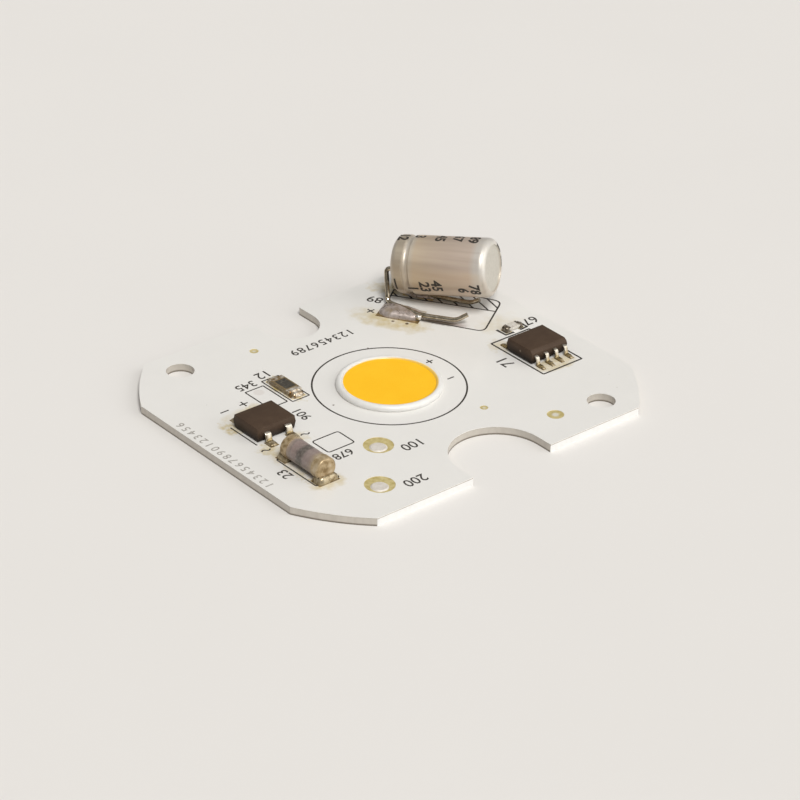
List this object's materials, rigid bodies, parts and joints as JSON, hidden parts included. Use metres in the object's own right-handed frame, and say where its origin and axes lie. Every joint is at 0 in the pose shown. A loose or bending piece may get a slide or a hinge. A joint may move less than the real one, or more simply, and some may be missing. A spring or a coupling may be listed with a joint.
{
  "type": "chip-on-board led module with on-board mains driver",
  "caption": "Flat slotted aluminium-core LED board with a round amber light source in the middle and its mains driver parts around it; two screw holes fix it to a heat sink.",
  "frame": {"origin": "middle of the board's flat back face", "axes": "+X along the longer side of the board, towards the driver chip and the capacitor; +Y along the shorter side, towards the narrower slot; +Z out of the component side, the way the light goes"},
  "size_m": [0.044, 0.037, 0.009],
  "materials": {
    "bare_aluminium": "blanked and rolled sheet, satin, bright on the cut edges",
    "dielectric": "filled epoxy, pale grey",
    "copper": "copper foil, gold-flashed where it is bare",
    "white_mask": "white solder mask, semi-gloss",
    "silicone": "translucent white silicone, smooth",
    "phosphor": "amber phosphor in silicone gel, smooth",
    "die": "semiconductor chip, polished",
    "gold_wire": "gold wire, bright",
    "can": "drawn aluminium, satin",
    "sleeve": "clear shrink film with dark marks",
    "bung": "black rubber, matt",
    "foil_roll": "wound foil and paper",
    "tinned_wire": "tinned wire, dull brown from flux",
    "solder": "soft solder, smooth with bright highlights",
    "epoxy": "dark brown-grey moulded epoxy, matt",
    "lead_frame": "tin plated, bright",
    "paddle": "copper alloy strip",
    "resistor_coat": "lacquered ceramic with coloured bands",
    "end_cap": "plated cap, tan tint",
    "ceramic": "fired ceramic, pale",
    "black_glaze": "black glaze, semi-gloss",
    "pale_glaze": "pale glaze, semi-gloss",
    "chip_plating": "tin plating tinted by flux"
  },
  "bodies": {
    "root": {"aluminium_base": "bare_aluminium", "dielectric_layer": "dielectric", "copper_circuit": "copper", "solder_mask": "white_mask", "dam_ring": "silicone", "phosphor_gel": "phosphor", "led_dies": "die", "bond_wires": "gold_wire", "capacitor_can": "can", "capacitor_sleeve": "sleeve", "capacitor_bung": "bung", "capacitor_roll": "foil_roll", "capacitor_lead_positive": "tinned_wire", "capacitor_lead_negative": "tinned_wire", "capacitor_solder_positive": "solder", "capacitor_solder_negative": "solder", "rectifier_body": "epoxy", "rectifier_dies": "die", "rectifier_lead_1": "lead_frame", "rectifier_lead_2": "lead_frame", "rectifier_lead_3": "lead_frame", "rectifier_lead_4": "lead_frame", "rectifier_solder": "solder", "driver_body": "epoxy", "driver_paddle": "paddle", "driver_die": "die", "driver_lead_1": "lead_frame", "driver_lead_2": "lead_frame", "driver_lead_3": "lead_frame", "driver_lead_4": "lead_frame", "driver_lead_5": "lead_frame", "driver_lead_6": "lead_frame", "driver_lead_7": "lead_frame", "driver_lead_8": "lead_frame", "driver_solder": "solder", "fuse_resistor_body": "resistor_coat", "fuse_resistor_cap_front": "end_cap", "fuse_resistor_cap_back": "end_cap", "fuse_resistor_solder": "solder", "sense_resistor_substrate": "ceramic", "sense_resistor_glaze": "black_glaze", "sense_resistor_terminals": "chip_plating", "sense_resistor_solder": "solder", "bleed_resistor_substrate": "ceramic", "bleed_resistor_glaze": "pale_glaze", "bleed_resistor_terminals": "chip_plating", "bleed_resistor_solder": "solder", "wire_pad_solder": "solder"}
  },
  "joints": []
}
